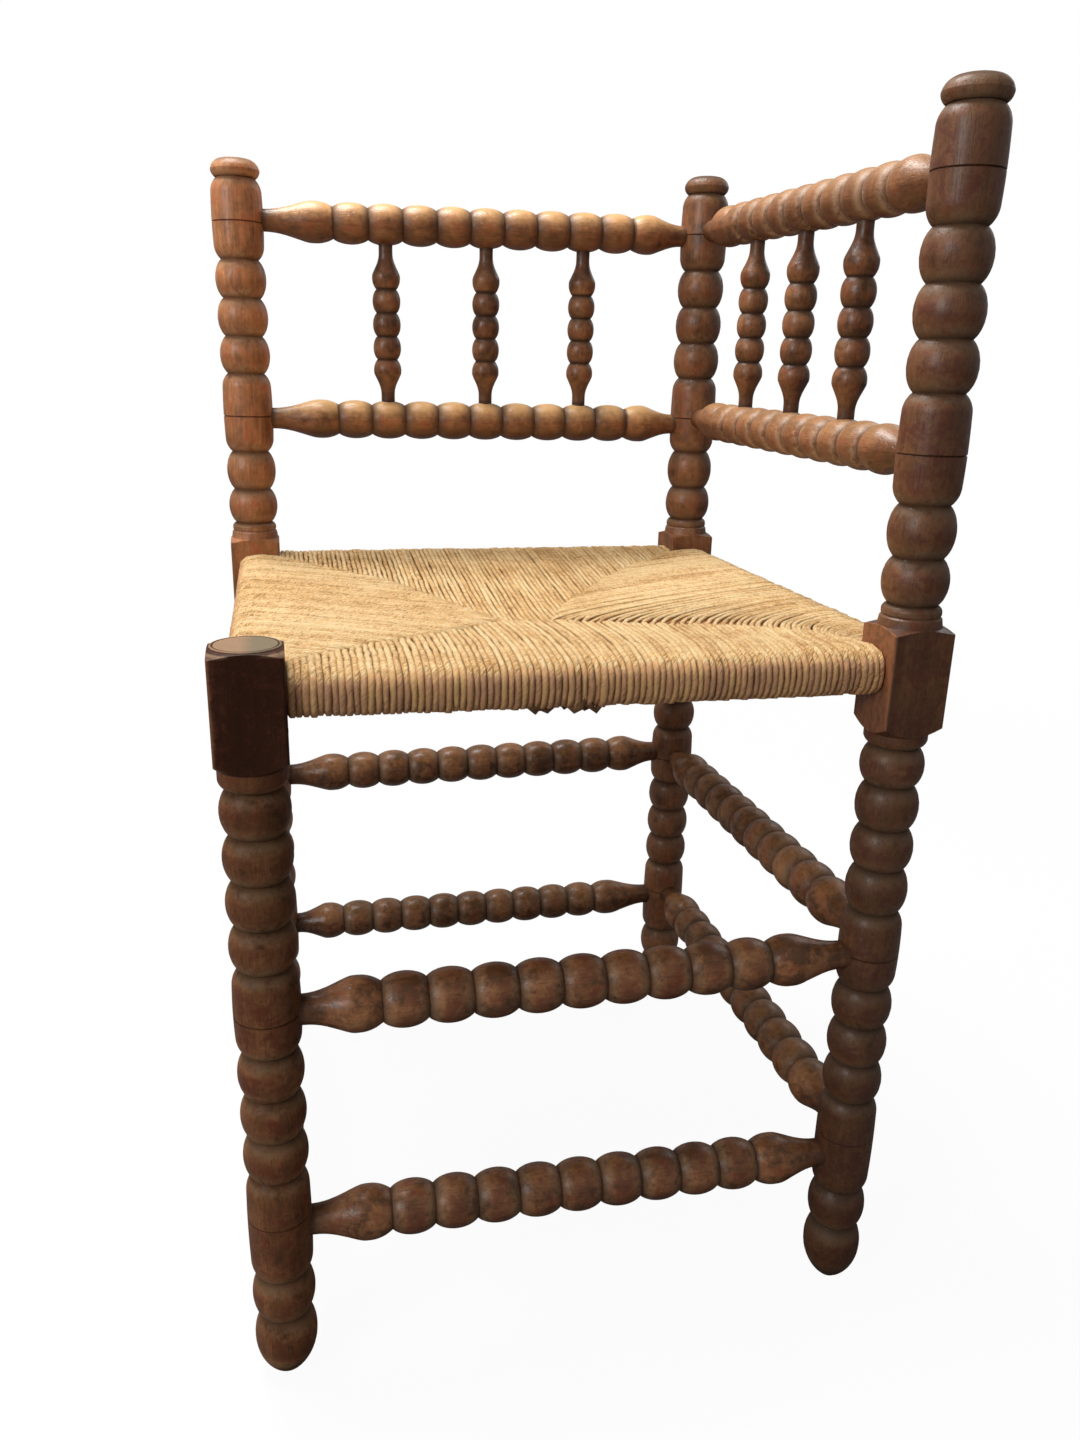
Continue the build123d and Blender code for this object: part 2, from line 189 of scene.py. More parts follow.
# shade is what the floor throws back as light; the camera sees it white, with a little of the chair's
# shadow, which is gone between near and far metres from the middle; gloss is how much white polish mirrors
studio = {"floor": 16.0, "shade": (0.20, 0.19, 0.18), "matt": 0.9, "shown": 0.97, "white": 0.95,
          "near": 0.9, "far": 2.2, "sky": 0.17, "gloss": 0.2}
lamps = [
    {"name": "ceiling", "place": (-0.45, 0.35, 2.3), "aim": (0, 0, 0.45), "size": 0.9, "watts": 52},
    {"name": "window", "place": (-2.1, -1.5, 1.5), "aim": (0, 0, 0.4), "size": 1.1, "watts": 28},
    {"name": "rim", "place": (1.7, 1.2, 1.7), "aim": (0, 0, 0.5), "size": 1.0, "watts": 5},
]


def floorPaint():
    paint = Paint("floor paint")
    paint.shader.inputs["Base Color"].default_value = (*studio["shade"], 1)
    paint.shader.inputs["Roughness"].default_value = studio["matt"]
    shown = paint.add("ShaderNodeBsdfDiffuse", None, {"Color": (studio["shown"],) * 3 + (1,)})
    glow = paint.add("ShaderNodeEmission", None, {"Color": (1, 1, 1, 1), "Strength": 1.0})
    across = paint.parts(paint.add("ShaderNodeTexCoord", output=3))
    distance = (across[0] * across[0] + across[1] * across[1]) ** 0.5
    share = studio["white"] + (1 - studio["white"]) * paint.step(distance, studio["near"], studio["far"])
    white = paint.add("ShaderNodeMixShader", None, {0: share, 1: shown, 2: glow})
    seen = paint.add("ShaderNodeLightPath", output=0)
    surface = paint.add("ShaderNodeMixShader", None, {0: seen, 1: paint.shader.outputs[0], 2: white})
    paint.tree.links.new(unwrap(surface), paint.tree.nodes["Material Output"].inputs["Surface"])
    return paint.material


def setWorld():
    world = bpy.data.worlds.new("studio")
    scene.world = world
    world.use_nodes = True
    tree = world.node_tree
    soft = tree.nodes["Background"]
    soft.inputs["Color"].default_value = (1, 1, 1, 1)
    soft.inputs["Strength"].default_value = studio["sky"]
    white = tree.nodes.new("ShaderNodeBackground")
    white.inputs["Color"].default_value = (1, 1, 1, 1)
    white.inputs["Strength"].default_value = 1
    path = tree.nodes.new("ShaderNodeLightPath")
    gloss = tree.nodes.new("ShaderNodeMath")
    gloss.operation = "MULTIPLY"
    gloss.inputs[1].default_value = studio["gloss"]
    tree.links.new(path.outputs["Is Glossy Ray"], gloss.inputs[0])
    either = tree.nodes.new("ShaderNodeMath")
    either.operation = "MAXIMUM"
    tree.links.new(path.outputs["Is Camera Ray"], either.inputs[0])
    tree.links.new(gloss.outputs[0], either.inputs[1])
    mix = tree.nodes.new("ShaderNodeMixShader")
    tree.links.new(either.outputs[0], mix.inputs["Fac"])
    tree.links.new(soft.outputs[0], mix.inputs[1])
    tree.links.new(white.outputs[0], mix.inputs[2])
    tree.links.new(mix.outputs[0], tree.nodes["World Output"].inputs["Surface"])


def setStudio():
    bpy.ops.mesh.primitive_plane_add(size=studio["floor"])
    floor = bpy.context.object
    floor.name = "floor"
    floor.data.materials.append(floorPaint())
    setWorld()
    for lamp in lamps:
        bpy.ops.object.light_add(type="AREA", location=lamp["place"])
        light = bpy.context.object
        light.name = lamp["name"]
        light.data.size = lamp["size"]
        light.data.energy = lamp["watts"]
        facing = Vector(lamp["aim"]) - Vector(lamp["place"])
        light.rotation_euler = facing.to_track_quat("-Z", "Y").to_euler()


setStudio()
scene.view_settings.view_transform = "Standard"
print("studio lit")

# linear colours: three tones of one brown, then what lies on it, painted top light and painted shade among
# it
wood = {"light": (0.47, 0.215, 0.090), "warm": (0.27, 0.108, 0.042), "dark": (0.115, 0.045, 0.018),
        "red": (0.25, 0.055, 0.018), "pore": (0.045, 0.018, 0.009), "dirtAndShade": (0.072, 0.033, 0.015),
        "wine": (0.115, 0.026, 0.016), "dust": (0.27, 0.175, 0.095), "powder": (0.60, 0.40, 0.26),
        "line": (0.085, 0.026, 0.011), "paintedTopLight": (0.72, 0.42, 0.17), "sootAndShade": (0.060, 0.022, 0.009)}
# scale, detail, roughness and distortion of each pattern; drawn is how far grain is stretched along the work
patterns = {"streaks": (95, 4, 0.62, 0.4), "fibres": (560, 3, 0.6), "pores": (1000, 2, 0.5),
            "patches": (34, 5, 0.62), "smears": (85, 4, 0.6, 0.6), "flecks": (240, 5, 0.65)}
drawn = 0.05
# how much painted top light lightens the tops of rails and painted shade darkens their undersides
topLightAndUnderShade = {"back_rail_rear_upper": (0.66, 0.62), "back_rail_rear_lower": (0.82, 1.0),
           "back_rail_right": (0.25, 0.6), "stretcher": (0.14, 0.6), "stretcher_front": (0.04, 0.85)}
# millimetres: the groove's and the crown's radius, half a row of bobbins, and where a rail meets its posts
turning = {
    "post": {"groove": 14.6, "crown": 19.8},
    "stretcher": {"groove": 12.4, "crown": 17.0, "row": 125.1, "joint": 175.2},
    "back_rail": {"groove": 11.9, "crown": 15.6, "row": 125.1, "joint": 175.2},
    "spindle": {"groove": 8.2, "crown": 11.4, "row": 27.3, "joint": 61.0},
    "seat_rail": {"groove": 0.0, "crown": 0.5},
}
# millimetres: how far a row sits off its rail's middle, and how much higher the + end lies than the - end
laid = {
    "stretcher_front_lower": (0, -6.3), "stretcher_front_upper": (-3.0, -1.0),
    "stretcher_right_lower": (-4.0, -3.4), "stretcher_right_upper": (-1.5, -7.6),
    "stretcher_rear_lower": (-6.5, -0.8), "stretcher_rear_upper": (2.5, 3.1),
    "back_rail_rear_lower": (4.0, -0.9), "back_rail_rear_upper": (4.0, 4.7),
    "back_rail_right_lower": (-5.5, 3.8), "back_rail_right_upper": (-5.5, 9.1),
}
spacing = 390  # millimetres from post to post
# how light a piece is painted, partly its own tone and partly painted light, before its height above the
# floor is taken into account
levels = {"post_front_left": 0.79, "post_front_right": 0.63, "post_back_left": 1.72, "post_back_right": 0.86,
          "back_rail_rear": 1.22, "back_rail_right": 0.92, "spindle": 0.73, "seat_rail": 1.0,
          "stretcher_front": 1.36, "stretcher_rear": 1.04, "stretcher_right": 1.27, "stretcher_left": 0.85}
# painted light and shade by height: from which height to which, in metres, a piece grows from one lightness
# to another
heightShades = {"others": (0.05, 0.72, 0.70, 1.08), "post_front_left": (0.05, 0.40, 1.06, 0.92),
         "post_back_left": (0.48, 0.76, 0.84, 1.24), "post_back_right": (0.05, 0.72, 0.98, 0.95)}
# how blotchy, streaked, speckled, dusty by its grooves and rough a piece is, and its dust
finishes = {
    "post": (1.0, 0.7, 0.9, 0.4, 0.34, "dust"),
    "post_front_left": (0.8, 0.6, 0.9, 0.9, 0.40, "dust"),
    "post_front_right": (0.6, 0.5, 0.6, 0.8, 0.44, "dust"),
    "post_back_right": (0.8, 0.7, 0.5, 0.6, 0.38, "dust"),
    "post_back_left": (0.45, 0.95, 0.3, 0.6, 0.36, "dust"),
    "back_rail_rear": (0.8, 0.9, 0.3, 0.15, 0.35, "dust"),
    "back_rail_right": (0.5, 0.8, 0.3, 0.7, 0.40, "powder"),
    "spindle": (1.2, 0.7, 0.5, 0.15, 0.33, "dust"),
    "s": (1.3, 0.8, 1.2, 0.75, 0.33, "dust"),  # stretchers and seat rails
}
polish = {"": (0.38, 0.12), "post_front_left": (0.16, 0.03)}  # specular level and weight of the coat
coatRoughness = 0.22
relief = (0.0006, 0.5)  # depth in metres and strength of the bumps
rubbed = ("post_front", "stretcher_front")  # the crowns of their bobbins are partly wine red
# from the groove's radius (0) to the crown's (1), how far dirt with painted shade in the groove, dust,
# painted shade in the valleys between bobbins and wine red reach, and how much they cover; a joint is dirty
# for joint millimetres and sooty for smear
grime = {"deep": (-0.02, 0.62), "film": (0.5, 0.95), "valleyShade": (0.4, 0.97), "crown": (0.75, 0.97),
         "filmCover": 0.7, "valleyShadeCover": 0.6, "crownCover": 0.6, "smearCover": 0.55,
         "joint": 3, "smear": 26, "ragged": 12}
# lines cut round the posts: their heights, half width and soft edge in millimetres
scribed = {"legs": (123.5, 267.2), "post_front_right": (589.0, 737.1), "post_back_right": (591.1, 742.3),
           "post_back_left": (588.0, 734.6), "half": 0.45, "soft": 0.5}


def mixed(first, second, share):
    return first + (second - first) * share


def lookUp(table, node):  # the entry whose key is the longest beginning of the node's name
    keys = sorted((key for key in table if node.startswith(key)), key=len)
    return table[keys[-1]]


class Timber:  # one piece of wood: its paint, its patterns and where a point lies on it
    def __init__(self, node):
        low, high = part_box(node)
        middle, extent = (low + high) / 2, high - low
        along = max(range(3), key=lambda axis: extent[axis])
        self.node, self.cut = node, lookUp(turning, node)
        self.paint = Paint(node + " wood")
        parts = self.paint.parts(self.paint.add("ShaderNodeTexCoord", output=3))
        shift, tilt = laid.get(node, (0, 0))
        self.height = parts[2]
        self.offMiddle = parts[along] - middle[along]
        self.run = self.offMiddle - shift * mm
        self.sides = [parts[axis] - middle[axis] for axis in range(3) if axis != along]
        if tilt:
            self.sides[1] = self.sides[1] - self.offMiddle * (tilt / spacing)
        self.radius = (self.sides[0] * self.sides[0] + self.sides[1] * self.sides[1]) ** 0.5
        self.addPatterns(along)

    def addPatterns(self, along):  # each piece takes its own stretch of every pattern
        paint = self.paint
        seed = sum(ord(letter) * (place + 1) for place, letter in enumerate(self.node)) % 97
        squeeze = [1.0, 1.0, 1.0]
        squeeze[along] = drawn
        grain = paint.place(squeeze, (seed * 0.31, seed * 0.17, seed * 0.23))
        self.streaks = paint.noise(grain, *patterns["streaks"])
        self.fibres = paint.noise(grain, *patterns["fibres"])
        self.pores = paint.step(paint.noise(grain, *patterns["pores"]), 0.58, 0.70)
        self.patches = paint.noise(paint.place(shift=(seed * 0.7, 0, 0)), *patterns["patches"])
        self.smears = paint.noise(paint.place(shift=(0, 0, seed * 0.9)), *patterns["smears"])
        self.flecks = paint.noise(paint.place(shift=(0, seed * 0.4, 0)), *patterns["flecks"])

    def past(self, length, limits):  # 0 to 1 as a length passes these limits, in millimetres
        return self.paint.step(length, limits[0] * mm, limits[1] * mm)

    def risen(self, shares):  # 0 to 1 as the radius grows between two shares of the way from groove to crown
        groove, crown = self.cut["groove"], self.cut["crown"]
        return self.past(self.radius, [mixed(groove, crown, share) for share in shares])

    def bareWood(self, mottle, lines, specks):
        paint = self.paint
        share = 0.5 + mottle * (1.6 * (self.patches - 0.5) + 1.4 * (self.smears - 0.5))
        share = share + lines * (self.streaks + 0.6 * self.fibres - 0.8) + specks * (self.flecks - 0.5)
        colour = paint.ramp(share, (0.14, wood["dark"]), (0.5, wood["warm"]), (0.9, wood["light"]))
        redness = paint.step(self.smears + 0.4 * (self.streaks - 0.5), 0.50, 0.68)
        colour = paint.mix(redness * 0.6, colour, wood["red"])
        return paint.mix(self.pores * 0.3, colour, wood["pore"])

    def paintTopLightAndUnderShade(self, colour):
        paint = self.paint
        topLight, underShade = lookUp(topLightAndUnderShade, self.node)
        # painted light: the top of the piece painted lighter and its underside painted darker, as light from
        # above falls
        up = self.sides[1] / (self.cut["crown"] * mm)
        paler = paint.step(up + 0.7 * (self.flecks - 0.5) + 0.5 * (self.patches - 0.5), -0.1, 1.0)
        colour = paint.mix(paler * topLight, colour, wood["paintedTopLight"])
        shaded = 1 - paint.step(up + 0.5 * (self.smears - 0.5), -0.9, 0.12)
        return paint.mix(shaded * underShade, colour, wood["sootAndShade"])

    def grimed(self, colour, dusty, dust):  # dirt and painted shade in the grooves, dirt at the joints, dust on the grooves' shoulders
        paint, cut = self.paint, self.cut
        inRow = 1.0
        if "row" in cut:
            inRow = 1 - self.past(abs(self.run), (cut["row"] + 0.5, cut["row"] + 2.5))
        deep, film, valleyShade = ((1 - self.risen(grime[name])) * inRow for name in ("deep", "film", "valleyShade"))
        film = film * paint.step(self.flecks + 0.7 * (self.patches - 0.5), 0.30, 0.60)
        if "joint" in cut:
            joint, reach = cut["joint"], abs(self.offMiddle)
            deep = deep.atLeast(self.past(reach, (joint - grime["joint"], joint)))
            reach = reach + grime["ragged"] * mm * (self.smears - 0.5)
            smear = self.past(reach, (joint - grime["smear"], joint))
            colour = paint.mix(smear * grime["smearCover"], colour, wood["sootAndShade"])
        # painted shade: the valleys between the bobbins darkened towards the groove, less where a piece is
        # dusty
        colour = paint.mix(valleyShade * (grime["valleyShadeCover"] * (1 - dusty)), colour, wood["sootAndShade"])
        colour = paint.mix(film * (grime["filmCover"] * dusty), colour, wood[dust])
        if self.node.startswith(rubbed):
            crown = self.risen(grime["crown"]) * inRow
            crown = crown * paint.step(self.flecks + self.smears - 0.5, 0.42, 0.60)
            colour = paint.mix(crown * grime["crownCover"], colour, wood["wine"])
        # dirt and painted shade darken the grooves' bottoms; the joints' dark ends are dirt
        dirtAndShade = (deep * (0.55 + 0.8 * self.flecks)).atMost(1)
        self.deep, self.film = deep, film
        return paint.mix(dirtAndShade * (1 - 0.45 * dusty), colour, wood["dirtAndShade"])

    def lined(self, colour):
        half, soft = scribed["half"], scribed["soft"]
        for line in scribed["legs"] + scribed.get(self.node, ()):
            near = 1 - self.past(abs(self.height - line * mm), (half, half + soft))
            colour = self.paint.mix(near * 0.7, colour, wood["line"])
        return colour

    def lit(self, colour):
        # painted light: each piece scaled by its level, partly its own tone and partly painted light, and by
        # painted light and shade that change with its height
        bottom, top, below, above = heightShades.get(self.node, heightShades["others"])
        lift = below + (above - below) * self.paint.step(self.height, bottom, top)
        return self.paint.scaled(colour, lookUp(levels, self.node) * lift)


# the square block of a post, from its foot to its top, and the flat turned disc on the low one: millimetres
block = {"bottom": 421.3, "top": 488.3, "half": 19.9, "edge": 17.2, "chamfer": 3.0, "soft": 0.3,
         "ragged": 3.0, "leftWear": (-14, -10), "tips": (21.0, 23.0), "disc": (-4, 5), "ring": (17.0, 17.6),
         "ringSoft": 0.4, "leftFace": (-19.5, -18.5), "shadow": (-18, -12), "arris": (19.0, 19.8)}
blockColours = {"black": (0.034, 0.010, 0.004), "plum": (0.062, 0.016, 0.008), "paler": (0.22, 0.088, 0.040),
                "umber": (0.16, 0.062, 0.027), "litRusset": (0.29, 0.105, 0.043), "ash": (0.20, 0.115, 0.070),
                "tan": (0.34, 0.21, 0.125), "greySheen": (0.21, 0.168, 0.108)}


def lowBlock(timber, colour, inBlock, edge, ragged):  # nearly black, worn at its left edge, its disc bare wood with a painted sheen
    paint, sides, height = timber.paint, timber.sides, timber.height
    flecks, streaks = timber.flecks, timber.streaks
    scuffs = paint.step(streaks + 0.3 * (flecks - 0.5), 0.60, 0.80)
    flecked = paint.step(flecks + 0.5 * (streaks - 0.5), 0.50, 0.62)
    dark = paint.mix(flecked, blockColours["black"], blockColours["plum"])
    colour = paint.mix(inBlock * 0.90, colour, paint.mix(scuffs * 0.4, dark, blockColours["ash"]))
    leftEdge = edge * (1 - timber.past(sides[0], block["leftWear"]))
    colour = paint.mix(inBlock * leftEdge, colour, blockColours["paler"])
    chamfer = timber.past(height + 0.5 * ragged, (block["top"] - block["chamfer"], block["top"]))
    tips = chamfer * timber.past(timber.radius + ragged, block["tips"])
    colour = paint.mix(tips * 0.9, colour, blockColours["tan"])
    top = timber.past(height, (block["top"], block["top"] + block["soft"]))
    # the disc's top, tan and grey: partly its bare wood and partly a painted reflection of the lamps
    discAndSheen = timber.past(sides[0] + 4 * ragged, block["disc"])
    discAndSheen = paint.mix(discAndSheen, blockColours["tan"], blockColours["greySheen"])
    colour = paint.mix(top * (0.55 + 0.6 * flecks).atMost(0.9), colour, discAndSheen)
    # painted shade: a dark ring stands for the groove round the disc's foot
    ring = paint.band(timber.radius, *(limit * mm for limit in block["ring"]), block["ringSoft"] * mm)
    return paint.mix(top * ring, colour, wood["dirtAndShade"])


def rightBlock(timber, colour, inBlock, corner, ragged):  # painted light: russet on the left face, where the window lights it; in front darker, with a painted shadow at its left, and dusty
    paint, sides = timber.paint, timber.sides
    flecks, streaks = timber.flecks, timber.streaks
    # painted light: the left face painted lighter and russet, as if lit from the left
    left = 1 - timber.past(sides[0], block["leftFace"])
    flecked = paint.step(flecks + 0.6 * (streaks - 0.5), 0.40, 0.58)
    litRusset = paint.mix(flecked, blockColours["umber"], blockColours["litRusset"])
    colour = paint.mix(inBlock * left * 0.85, colour, litRusset)
    front = inBlock * (1 - left)
    colour = paint.mix(front * paint.step(streaks, 0.50, 0.66) * 0.4, colour, blockColours["ash"])
    # painted shadow on the left part of the front face
    shadow = front * (1 - timber.past(sides[0] + 2 * ragged, block["shadow"]))
    colour = paint.mix(shadow * 0.35, colour, blockColours["black"])
    arris = inBlock * timber.past(corner + ragged, block["arris"])
    return paint.mix(arris * 0.6, colour, blockColours["ash"])


def blockFinish(timber, colour):
    paint = timber.paint
    ragged = block["ragged"] * mm * (timber.flecks - 0.5)
    inBlock = paint.band(timber.height, block["bottom"] * mm, block["top"] * mm, block["soft"] * mm)
    corner = abs(timber.sides[0]).atMost(abs(timber.sides[1]))
    edge = timber.past(corner + ragged, (block["edge"], block["half"]))
    if timber.node == "post_front_left":
        return lowBlock(timber, colour, inBlock, edge, ragged)
    if timber.node == "post_front_right":
        return rightBlock(timber, colour, inBlock, corner, ragged)
    # the other blocks' edges worn paler
    return paint.mix(inBlock * edge * 0.4, colour, blockColours["paler"])


def woodPaint(node):
    timber = Timber(node)
    mottle, lines, specks, dusty, roughness, dust = lookUp(finishes, node)
    post = node.startswith("post")
    colour = timber.bareWood(mottle, lines, specks)
    if node.startswith(tuple(topLightAndUnderShade)):
        colour = timber.paintTopLightAndUnderShade(colour)
    colour = timber.grimed(colour, dusty, dust)
    if post:
        colour = timber.lined(colour)
    colour = timber.lit(colour)
    if post:
        colour = blockFinish(timber, colour)
    rough = roughness + 0.3 * (timber.patches - 0.4) + 0.2 * (timber.flecks - 0.5)
    rough = rough + 0.3 * timber.deep + 0.12 * timber.film
    bumps = 0.5 * timber.fibres - 0.5 * timber.pores + 0.8 * timber.flecks + 1.0 * timber.smears
    sheen, coat = lookUp(polish, node)
    shader = timber.paint.shader
    shader.inputs["Specular IOR Level"].default_value = sheen
    shader.inputs["Coat Weight"].default_value = coat
    shader.inputs["Coat Roughness"].default_value = coatRoughness
    return timber.paint.finish(colour, rough, bumps, *relief)


for node, piece in sorted(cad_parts.items()):
    if not node.startswith("rush"):
        piece.material_slots[0].material = woodPaint(node)
print("wood finished")

# lengths in millimetres; a section is the fan of cords that one rail carries
rush = {"cords": 91, "radius": 1.95, "girths": (0.88, 1.07), "wrap": 1.12, "tail": 0.7, "sides": 6,
        "sag": 20.5, "belly": 6.5, "rim": 6, "patch": 8, "mitre": 14, "crease": 3.5, "squareness": 2.5,
        "steps": 9, "turns": 7, "shown": 0.88, "dive": 3.6, "dig": 2.5, "tuck": 0.5, "wobble": 0.55,
        "uneven": 0.42, "lumpy": 0.12, "seed": 11}
# seams, as plan points from a corner to a section's inner tip; front and rear meet between the two tips
tips = {"left": (-20, -9), "right": (17, -12)}
seams = {
    "front_left": [(-125, -115), (-75, -71), (-50, -42)],
    "back_left": [(-130, 138), (-92, 105), (-59, 59), (-45, 30)],
    "front_right": [(163, -140), (134, -105), (105, -80), (63, -50)],
    "back_right": [(125, 134), (88, 96), (63, 63), (38, 33)],
}
# a section's rail runs from its first corner to its second, and slack is how far the wrap hangs down at the
# first corner, the middle and the second corner; drift slides the cords' inner ends along the rail, more to
# one side with skew, reach says how far in a cord turns, and bend how much of the drift it has by then; thin
# is the girth at the first and the second corner, spread flattens the cords, ragged is how unevenly they end
sections = {
    "front": {"corners": ("front_left", "front_right"), "tips": ("left", "right"), "slack": (2.4, 4.2, 4.3),
              "drift": 20, "skew": 0.9, "bend": 0.8, "reach": 0.5,
              "thin": (1.04, 1.04), "spread": 1.13, "ragged": 2.0},
    "rear": {"corners": ("back_left", "back_right"), "tips": ("left", "right"), "slack": (0, 0, 0),
             "drift": 0, "skew": 0, "bend": 0, "reach": 0.6,
             "thin": (1.0, 1.0), "spread": 1.08, "ragged": 2.6},
    "left": {"corners": ("front_left", "back_left"), "tips": ("left",), "slack": (0, 0, 0),
             "drift": -6, "skew": 0, "bend": 0, "reach": 0.6,
             "thin": (1.1, 1.1), "spread": 1.3, "ragged": 3.2},
    "right": {"corners": ("front_right", "back_right"), "tips": ("right",), "slack": (0, 0, 0),
              "drift": -28, "skew": -0.6, "bend": 0, "reach": 0.9,
              "thin": (0.78, 1.14), "spread": 1.22, "ragged": 1.2},
}


def postCentre(corner):
    low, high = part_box("post_" + corner)
    return (low + high) / 2


def along(points, place):  # height of a broken line at a place along it
    for (x0, y0), (x1, y1) in zip(points, points[1:]):
        if place <= x1:
            return mixed(y0, y1, (place - x0) / (x1 - x0))
    return points[-1][1]


class Seat:  # the space that the rush fills, read from the frame
    def __init__(self):
        low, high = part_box("rush_seat")
        railLow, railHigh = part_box("seat_rail_front")
        self.half = -postCentre("front_left").x
        self.clear = -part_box("post_front_left")[1].x - 0.4 * mm
        self.axis = (railLow.z + railHigh.z) / 2
        self.radius = rush["radius"] * mm
        self.rise = high.z - self.axis - self.radius
        self.bulge = high.x - self.half - self.radius

    def depth(self, x, y):  # 0 at the rails and 1 on the middle patch, rounded where two sections meet
        across = sorted((self.half - abs(x), self.half - abs(y)))
        blend = max(0, 1 - (across[1] - across[0]) / (rush["mitre"] * mm))
        inside = across[0] - blend * blend * rush["crease"] * mm
        flat = rush["rim"] * mm
        return min(1, max(0, (inside - flat) / (self.half - flat - rush["patch"] * mm)))

    def top(self, x, y):
        return self.axis + self.rise - rush["sag"] * mm * self.depth(x, y)

    def bottom(self, x, y):
        return self.axis - self.rise - rush["belly"] * mm * self.depth(x, y)


class Bundle:  # lengths of cord that become one piece
    def __init__(self):
        self.vertices, self.faces, self.twists, self.tones, self.unders = [], [], [], [], []

    def wind(self, centres, girths, unders, tone, rail, spread=1.0):
        sides = rush["sides"]
        start = len(self.vertices)
        run, lastOutward = 0, None
        for ring, spot in enumerate(centres):
            before, after = centres[max(0, ring - 1)], centres[min(len(centres) - 1, ring + 1)]
            heading = (after - before).normalized()
            side = (rail - heading * rail.dot(heading)).normalized()
            outward = side.cross(heading)
            if ring:
                run += (spot - centres[ring - 1]).length
                if outward.dot(lastOutward) < 0:
                    outward = -outward
            elif outward.z < 0:
                outward = -outward
            lastOutward = outward
            for corner in range(sides):
                angle = math.tau * (corner + 0.5) / sides
                offset = outward * math.cos(angle) + side * math.sin(angle) * spread
                self.vertices.append(spot + offset * girths[ring])
                self.twists.append((math.cos(angle), math.sin(angle), run))
                self.tones.append(tone)
                self.unders.append(unders[ring])
            if ring:
                base = start + (ring - 1) * sides
                for corner in range(sides):
                    following = (corner + 1) % sides
                    self.faces.append((base + corner, base + following, base + sides + following,
                                       base + sides + corner))
        self.faces.append(tuple(range(start + sides - 1, start - 1, -1)))
        end = start + (len(centres) - 1) * sides
        self.faces.append(tuple(range(end, end + sides)))

    def finish(self, name, slot, node):
        mesh = bpy.data.meshes.new(name)
        mesh.from_pydata(self.vertices, [], self.faces)
        mesh.shade_smooth()
        twist = mesh.attributes.new("twist", "FLOAT_VECTOR", "POINT")
        twist.data.foreach_set("vector", [value for entry in self.twists for value in entry])
        for key, values in (("tone", self.tones), ("under", self.unders)):
            mesh.attributes.new(key, "FLOAT", "POINT").data.foreach_set("value", values)
        addPiece(name, mesh, rushFinish, node)


def addPiece(name, mesh, material, node):
    piece = bpy.data.objects.new(name, mesh)
    scene.collection.objects.link(piece)
    bpy.context.view_layer.objects.active = piece
    piece.select_set(True)
    bpy.ops.object.mode_set(mode="EDIT")
    bpy.ops.mesh.select_all(action="SELECT")
    bpy.ops.mesh.normals_make_consistent(inside=False)
    bpy.ops.object.mode_set(mode="OBJECT")
    piece.select_set(False)
    piece.data.materials.append(material)
    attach(piece, "root")
    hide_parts(node)
    return piece


def signedPower(value, power):
    return math.copysign(abs(value) ** power, value)


def seamOf(section, origin, rail, inward):  # the section's inner edge as (along the rail, in from it)
    start, end = section["corners"]
    clear = seat.clear / mm
    plan = [tuple(math.copysign(clear, value) for value in postCentre(start).xy)]
    plan += seams[start]
    plan += [tips[tip] for tip in section["tips"]]
    plan += reversed(seams[end])
    plan += [tuple(math.copysign(clear, value) for value in postCentre(end).xy)]
    local = []
    for x, y in plan:
        spot = Vector((x * mm, y * mm, 0)) - origin
        local.append((spot.dot(rail), spot.dot(inward)))
    return local


def cordPath(place, section, seam, dice):  # a cord's rings, as (along, in, layer, height, how far under)
    share = place / seat.clear
    landing = place + section["drift"] * mm * (1 - share * share) * (1 + section["skew"] * share)
    inner = along(seam, landing) + dice.uniform(-1, 1) * section["ragged"] * mm
    turn = (mixed(place, landing, section["bend"]), inner * section["reach"])
    sway = [dice.uniform(-1, 1) * rush["wobble"] * mm for _ in range(rush["steps"])]
    lift = dice.uniform(-1, 1) * rush["uneven"] * mm
    near, middle, far = section["slack"]
    slack = (middle + (far - near) / 2 * share + ((far + near) / 2 - middle) * share * share) * mm

    def planAt(go):
        keep = 1 - go
        a = keep * keep * place + 2 * keep * go * turn[0] + go * go * landing
        d = 2 * keep * go * turn[1] + go * go * inner
        return a, d

    # over the top from the seam to the rail
    heading = Vector((landing - turn[0], inner - turn[1]))
    heading = heading.normalized() * rush["dig"] * mm
    path = [(landing + heading.x, inner + heading.y, "top", -rush["dive"] * mm, 0)]
    for step in range(rush["steps"]):
        a, d = planAt(1 - rush["shown"] * step / rush["steps"])
        path.append((a + sway[step], d, "top", lift if step else -rush["tuck"] * mm, 0))
    # round the rail, then back below to the seam
    last = rush["turns"] - 1
    power = 2 / rush["squareness"]
    for step in range(rush["turns"]):
        angle = math.pi / 2 - math.pi * step / last
        d = -(seat.bulge + lift) * signedPower(math.cos(angle), power)
        z = (seat.rise + lift) * signedPower(math.sin(angle), power) - slack * step / last
        path.append((place + 0.5 * sway[step % 4], d, "wrap", z, min(1, 2 * step / last)))
    for share in (0.5, 1):
        a, d = planAt(share)
        path.append((a + sway[0], d, "bottom", -slack * (1 - share), 1))
    path.append((landing + heading.x, inner + heading.y, "bottom", rush["dive"] * mm, 1))
    return path


